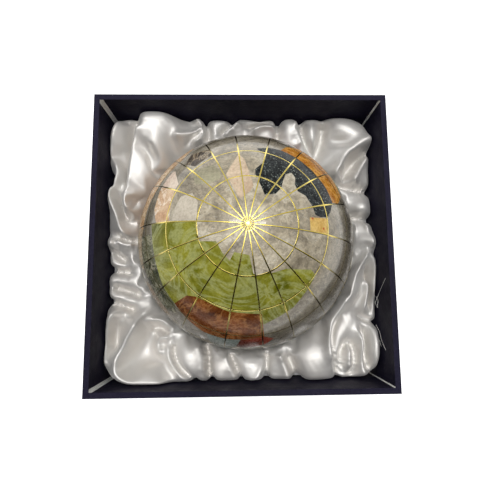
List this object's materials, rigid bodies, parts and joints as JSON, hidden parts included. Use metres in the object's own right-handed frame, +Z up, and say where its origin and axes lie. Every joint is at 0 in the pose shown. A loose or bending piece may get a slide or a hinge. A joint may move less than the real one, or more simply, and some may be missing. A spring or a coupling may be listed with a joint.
{
  "type": "gemstone desk globe in presentation box",
  "caption": "Polished inlaid-stone desk globe with brass wires and a flat foot, resting in the gathered satin nest of a square open presentation box.",
  "frame": {"origin": "centre of the box's underside, on the surface it stands on", "axes": "+Z up out of the open box, along the globe's polar axis; +X to the right and +Y to the back as the box is seen from its front"},
  "size_m": [0.106, 0.106, 0.085],
  "materials": {
    "leatherette": "leather-grain embossed paper, satin",
    "white_paper": "uncoated",
    "greyboard": "uncoated",
    "satin": "satin weave, soft sheen",
    "wadding": "soft polyester wadding",
    "foam": "open-cell foam",
    "core": "cast plaster, matte",
    "felt": "pressed felt",
    "brass_wire": "polished",
    "ocean_stone": "polished, translucent, crystalline",
    "russia_stone": "polished",
    "mongolia_china_stone": "polished",
    "south_china_stone": "polished",
    "japan_stone": "polished",
    "central_asia_stone": "polished",
    "india_stone": "polished",
    "middle_east_stone": "polished",
    "europe_stone": "polished",
    "west_europe_stone": "polished",
    "scandinavia_stone": "polished",
    "british_isles_stone": "polished",
    "iberia_stone": "polished",
    "africa_stone": "polished",
    "greenland_stone": "polished",
    "canada_stone": "polished, speckled",
    "usa_stone": "polished",
    "alaska_stone": "polished",
    "central_america_stone": "polished",
    "south_america_stone": "polished",
    "australia_stone": "polished"
  },
  "bodies": {
    "box": {"base_board": "greyboard", "base_cover": "leatherette", "base_liner": "white_paper", "corner_stay_back_left": "white_paper", "corner_stay_back_right": "white_paper", "corner_stay_front_left": "white_paper", "corner_stay_front_right": "white_paper", "nest_board": "greyboard", "nest_riser_back": "greyboard", "nest_riser_front": "greyboard", "nest_riser_left": "greyboard", "nest_riser_right": "greyboard", "satin_lining": "satin", "seat_pad": "foam", "side_wrap": "leatherette", "wadding_ring": "wadding", "wall_board_back": "greyboard", "wall_board_front": "greyboard", "wall_board_left": "greyboard", "wall_board_right": "greyboard", "wall_liner_back": "leatherette", "wall_liner_front": "leatherette", "wall_liner_left": "leatherette", "wall_liner_right": "leatherette"},
    "globe": {"core_ball": "core", "felt_foot": "felt", "inlay_africa": "africa_stone", "inlay_alaska": "alaska_stone", "inlay_australia": "australia_stone", "inlay_british_isles": "british_isles_stone", "inlay_canada": "canada_stone", "inlay_central_america": "central_america_stone", "inlay_central_asia": "central_asia_stone", "inlay_europe": "europe_stone", "inlay_greenland": "greenland_stone", "inlay_iberia": "iberia_stone", "inlay_india": "india_stone", "inlay_japan": "japan_stone", "inlay_middle_east": "middle_east_stone", "inlay_mongolia_china": "mongolia_china_stone", "inlay_russia": "russia_stone", "inlay_scandinavia": "scandinavia_stone", "inlay_south_america": "south_america_stone", "inlay_south_china": "south_china_stone", "inlay_usa": "usa_stone", "inlay_west_europe": "west_europe_stone", "meridian_wires": "brass_wire", "ocean_antarctic": "ocean_stone", "ocean_arctic_cap": "ocean_stone", "ocean_north_cool": "ocean_stone", "ocean_north_polar": "ocean_stone", "ocean_north_tropic": "ocean_stone", "ocean_north_warm": "ocean_stone", "ocean_south_cool": "ocean_stone", "ocean_south_tropic": "ocean_stone", "ocean_south_warm": "ocean_stone", "parallel_wires": "brass_wire", "pole_button": "brass_wire"}
  },
  "joints": [
    {"name": "globe_lift", "type": "slide", "parent": "box", "child": "globe", "axis": [0, 0, 1], "range_m": [0, 0.06]}
  ]
}
